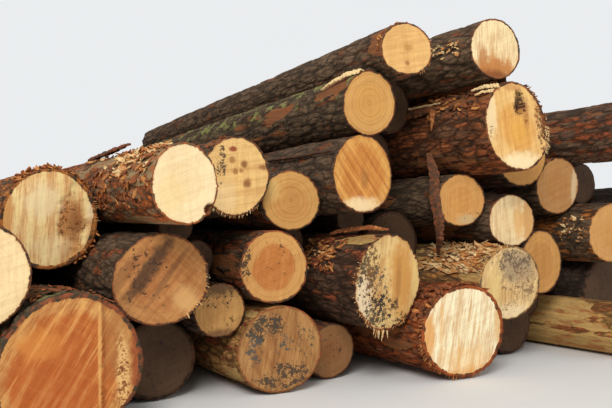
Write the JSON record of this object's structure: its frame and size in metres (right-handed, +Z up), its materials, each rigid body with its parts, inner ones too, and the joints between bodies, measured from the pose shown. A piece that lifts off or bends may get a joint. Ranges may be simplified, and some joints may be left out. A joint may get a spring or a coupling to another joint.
{
  "type": "stack of logs",
  "caption": "Roadside stack of freshly felled pine sawlogs lying side by side and on each other, sawn butts at the front.",
  "frame": {"origin": "middle of the stack's footprint, on the ground", "axes": "+X along the row of sawn butts, to the right as seen from their side; +Y along the logs, from the butts into the stack; +Z up"},
  "size_m": [4.0646, 3.1641, 1.536],
  "materials": {
    "pine_log": "rough bark and fresh saw cuts"
  },
  "bodies": {
    "root": {"log_01": "pine_log", "log_02": "pine_log", "log_03": "pine_log", "log_04": "pine_log", "log_05": "pine_log", "log_06": "pine_log", "log_07": "pine_log", "log_08": "pine_log", "log_09": "pine_log", "log_10": "pine_log", "log_11": "pine_log", "log_12": "pine_log", "log_13": "pine_log", "log_14": "pine_log", "log_15": "pine_log", "log_16": "pine_log", "log_17": "pine_log", "log_18": "pine_log", "log_19": "pine_log", "log_20": "pine_log", "log_21": "pine_log", "log_22": "pine_log", "log_23": "pine_log", "log_24": "pine_log", "log_25": "pine_log", "log_26": "pine_log", "log_27": "pine_log", "log_28": "pine_log", "log_29": "pine_log", "log_30": "pine_log", "log_31": "pine_log", "log_32": "pine_log", "log_33": "pine_log", "log_34": "pine_log", "log_35": "pine_log", "log_36": "pine_log", "log_37": "pine_log", "log_38": "pine_log", "log_39": "pine_log", "log_40": "pine_log", "log_41": "pine_log", "log_42": "pine_log", "log_43": "pine_log", "log_44": "pine_log", "log_45": "pine_log", "log_46": "pine_log"}
  },
  "joints": []
}
